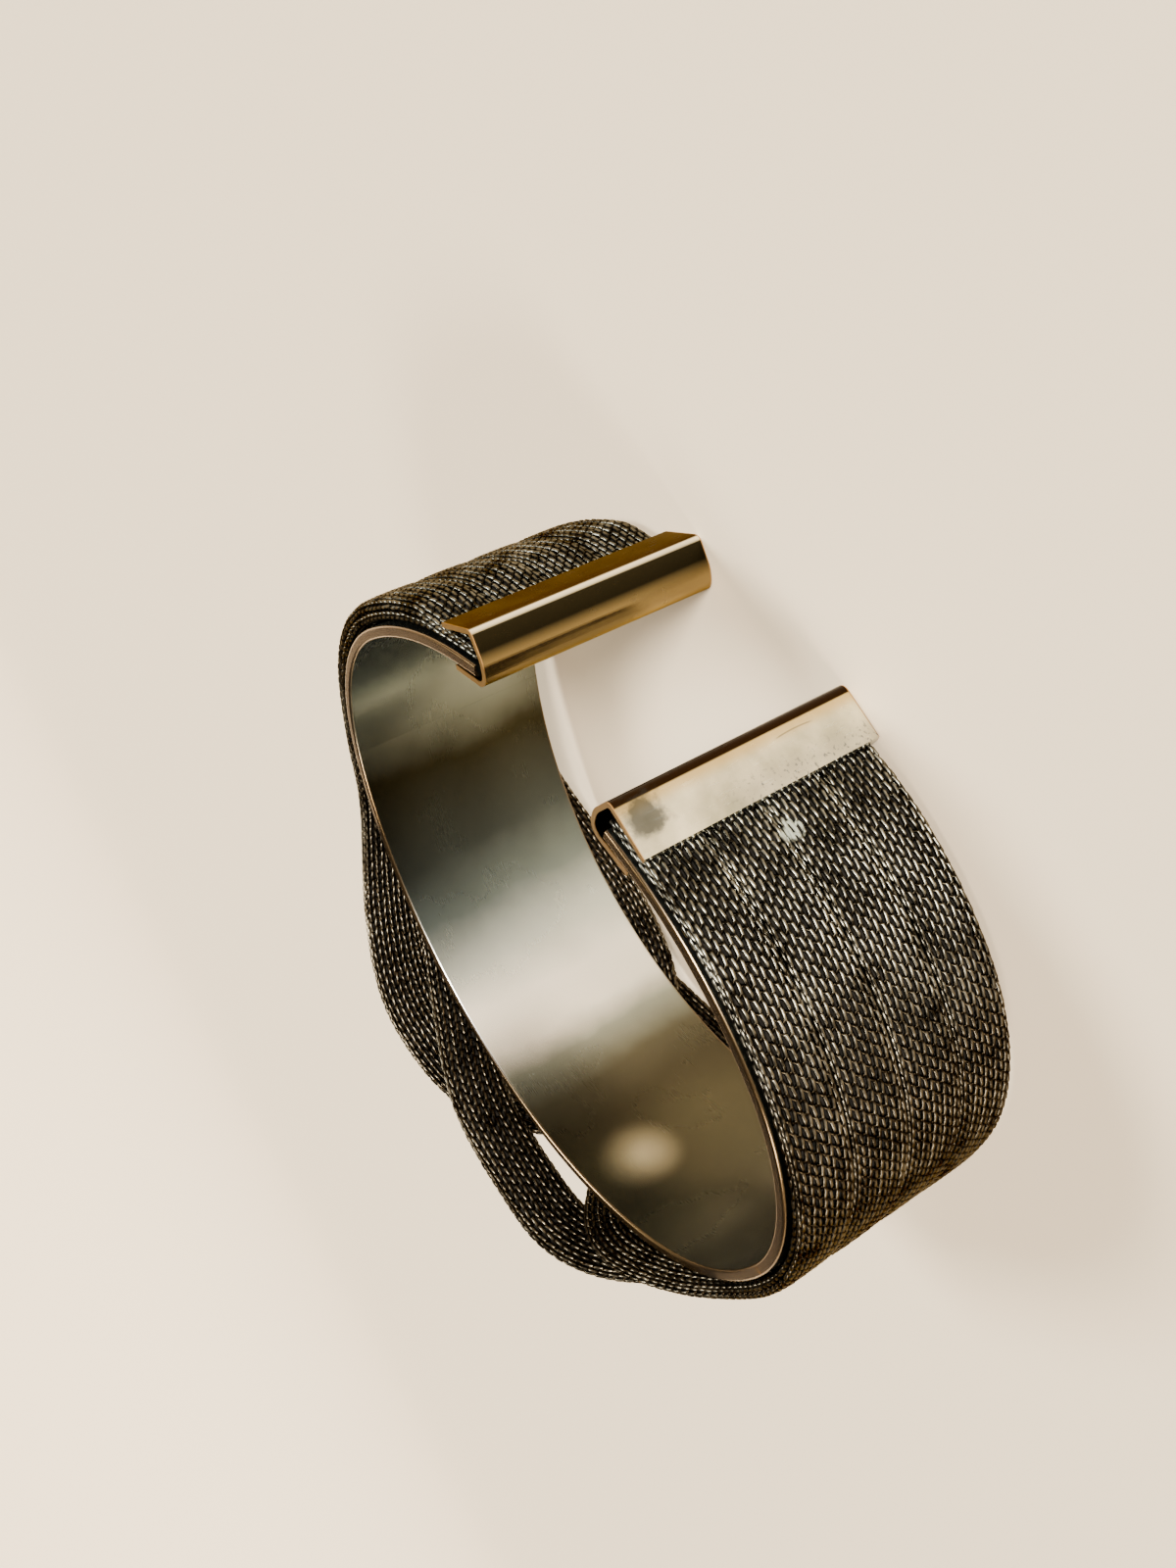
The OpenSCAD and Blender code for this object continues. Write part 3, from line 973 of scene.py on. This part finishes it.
    # The core: a dark sheet of painted shade under the wire
    inward = scaled(tree, named("lift"), calc("MULTIPLY", given["Core depth"], -1))
    core = add(
        tree, "GeometryNodeSetPosition", {"Geometry": given["Tube"], "Offset": inward}
    )
    closed = add(
        tree,
        "GeometryNodeMergeByDistance",
        {"Geometry": core.outputs[0], "Distance": SEAM_GAP * MM},
    )
    cored = add(
        tree,
        "GeometryNodeSetMaterial",
        {"Geometry": closed.outputs[0], "Material": given["Core"]},
    )
    both = add(tree, "GeometryNodeJoinGeometry")
    tree.links.new(wired.outputs[0], both.inputs[0])
    tree.links.new(cored.outputs[0], both.inputs[0])
    smooth = add(tree, "GeometryNodeSetShadeSmooth", {"Geometry": both.outputs[0]})
    whole = add(tree, "GeometryNodeRealizeInstances", {"Geometry": smooth.outputs[0]})
    add(tree, "NodeGroupOutput", {"Knit": whole.outputs[0]})
    return tree


KNIT = knit_tree()


def knit(obj, settings):
    """Runs the knitting tree on a guide and returns the plain mesh."""
    modifier = obj.modifiers.new("knit", "NODES")
    modifier.node_group = KNIT
    sockets = {
        item.name: item.identifier
        for item in KNIT.interface.items_tree
        if item.item_type == "SOCKET" and item.in_out == "INPUT"
    }
    for name, value in settings.items():
        modifier[sockets[name]] = value
    graph = bpy.context.evaluated_depsgraph_get()
    mesh = bpy.data.meshes.new_from_object(obj.evaluated_get(graph), depsgraph=graph)
    obj.modifiers.remove(modifier)
    return mesh


def close_ends(mesh):
    """Closes the core's two open ends."""
    edit = bmesh.new()
    edit.from_mesh(mesh)
    rims = [edge for edge in edit.edges if edge.is_boundary]
    bmesh.ops.holes_fill(edit, edges=rims, sides=0)
    edit.to_mesh(mesh)
    edit.free()


def knit_strand(i):
    name = f"strand_{i + 1}"
    guide, length = guide_mesh(i)
    obj = bpy.data.objects.new(name + "_knit", guide)
    bpy.context.scene.collection.objects.link(obj)
    mesh = knit(
        obj,
        {
            "Rows": round(length / ROW_LEN),
            "Wales": WALES,
            "Points a stitch": STITCH_POINTS,
            "Wire sides": WIRE_SIDES,
            "Wire radius": WIRE_R * MM,
            "Loop reach": LOOP_REACH,
            "Loop swing": LOOP_SWING,
            "Loop depth": LOOP_DEPTH * MM,
            "Leg stagger": LEG_STAGGER,
            "Wire below": WIRE_BELOW * MM,
            "Unevenness": UNEVENNESS,
            "Core depth": CORE_DEPTH * MM,
            "Seed": i + 1,
            "Wire": WIRE,
            "Core": CORE,
        },
    )
    close_ends(mesh)
    obj.data = mesh
    bpy.data.meshes.remove(guide)
    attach(obj, "root")
    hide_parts(name)


for i in range(STRANDS):
    knit_strand(i)

for name, finish in (
    ("band", band_finish()),
    ("cap_left", cap_finish(-1)),
    ("cap_right", cap_finish(1)),
):
    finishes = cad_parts[name].data.materials
    finishes.clear()
    finishes.append(finish)


# The floor, in metres and degrees: flat under the cuff, then bent up all round
FLOOR_R, FLOOR_RINGS, FLOOR_SIDES = 1.2, 4, 72
BEND_R, BEND_DEG, BEND_STEPS = 1.2, 65, 12
PALE, FLOOR_DULL, FLOOR_GLOSS = (0.56, 0.45, 0.32), 0.9, 0.1


def pale_floor():
    """A flat pale floor that curves up all round, far from the cuff."""
    profile = [(FLOOR_R * k / FLOOR_RINGS, 0) for k in range(1, FLOOR_RINGS + 1)]
    for k in range(1, BEND_STEPS + 1):
        a = math.radians(BEND_DEG * k / BEND_STEPS)
        profile.append((FLOOR_R + BEND_R * math.sin(a), BEND_R * (1 - math.cos(a))))
    points = [(0, 0, 0)]
    for r, z in profile:
        for j in range(FLOOR_SIDES):
            a = math.tau * j / FLOOR_SIDES
            points.append((r * math.cos(a), r * math.sin(a), z))
    faces = [(0, 1 + j, 1 + (j + 1) % FLOOR_SIDES) for j in range(FLOOR_SIDES)]
    for k in range(len(profile) - 1):
        for j in range(FLOOR_SIDES):
            a = 1 + k * FLOOR_SIDES + j
            b = 1 + k * FLOOR_SIDES + (j + 1) % FLOOR_SIDES
            faces.append((a, a + FLOOR_SIDES, b + FLOOR_SIDES, b))
    mesh = bpy.data.meshes.new("floor")
    mesh.from_pydata(points, [], faces)
    mesh.shade_smooth()
    made, tree = new_finish("plain pale floor")
    finish_shader(
        tree,
        {
            "Base Color": (*PALE, 1),
            "Roughness": FLOOR_DULL,
            "Specular IOR Level": FLOOR_GLOSS,
        },
    )
    mesh.materials.append(made)
    obj = bpy.data.objects.new("floor", mesh)
    bpy.context.scene.collection.objects.link(obj)


# Soft lights of the studio's sky: the way to each, how wide it is, as the
# cosines at its rim and at its full part, its strength and its colour
SKY_LIGHTS = (
    ((0.40, 0.80, 0.43), (0.982, 0.992), 185.0, (1.0, 0.96, 0.86)),
    ((-0.55, 0.10, 0.80), (0.978, 0.990), 60.0, (0.97, 0.98, 0.92)),
    ((0.75, -0.20, 0.62), (0.985, 0.993), 52.0, (1.0, 0.93, 0.82)),
)
SKY = (0.09, 0.083, 0.075)


def studio_world():
    """A dim warm sky with a few soft lights in it."""
    world = bpy.data.worlds.new("studio")
    bpy.context.scene.world = world
    world.use_nodes = True
    tree = world.node_tree
    tree.nodes.clear()
    way = add(tree, "ShaderNodeTexCoord").outputs["Generated"]
    colour = SKY
    for towards, (rim, full), power, tint in SKY_LIGHTS:
        middle = Vector(towards).normalized()
        turned = vector_node(tree, "DOT_PRODUCT", way, middle)["Value"]
        lit = after_mark(tree, turned, rim, full)
        glow = scaled(tree, tuple(power * c for c in tint), lit)
        colour = vector_node(tree, "ADD", colour, glow)[0]
    sky = add(tree, "ShaderNodeBackground", {"Color": colour, "Strength": 1.0})
    add(tree, "ShaderNodeOutputWorld", {"Surface": sky.outputs[0]})


# The camera, in the cuff's own axes, in mm, from the inner face's near corner
CAMERA_PLACE = Vector((51.79, 117.43, 55.91))
PICTURE_RIGHT = Vector((0.56975, 0.05026, -0.82028))
PICTURE_DOWN = Vector((0.63429, -0.66155, 0.40003))
LENS, SENSOR = 31.5, 36
# The nearest and furthest that it sees, in metres
CLIP_NEAR, CLIP_FAR = 0.005, 100


def camera():
    data = bpy.data.cameras.new("camera")
    data.lens, data.sensor_width = LENS, SENSOR
    data.clip_start, data.clip_end = CLIP_NEAR, CLIP_FAR
    obj = bpy.data.objects.new("camera", data)
    bpy.context.scene.collection.objects.link(obj)
    right, up = laid_run(PICTURE_RIGHT), -laid_run(PICTURE_DOWN)
    back = right.cross(up)
    turned = Matrix((right, up, back)).transposed().to_4x4()
    place = laid_point(CAMERA_PLACE - Vector((0, MIDDLE_Y, 0)))
    obj.matrix_world = Matrix.Translation(place) @ turned
    bpy.context.scene.camera = obj


pale_floor()
studio_world()
camera()
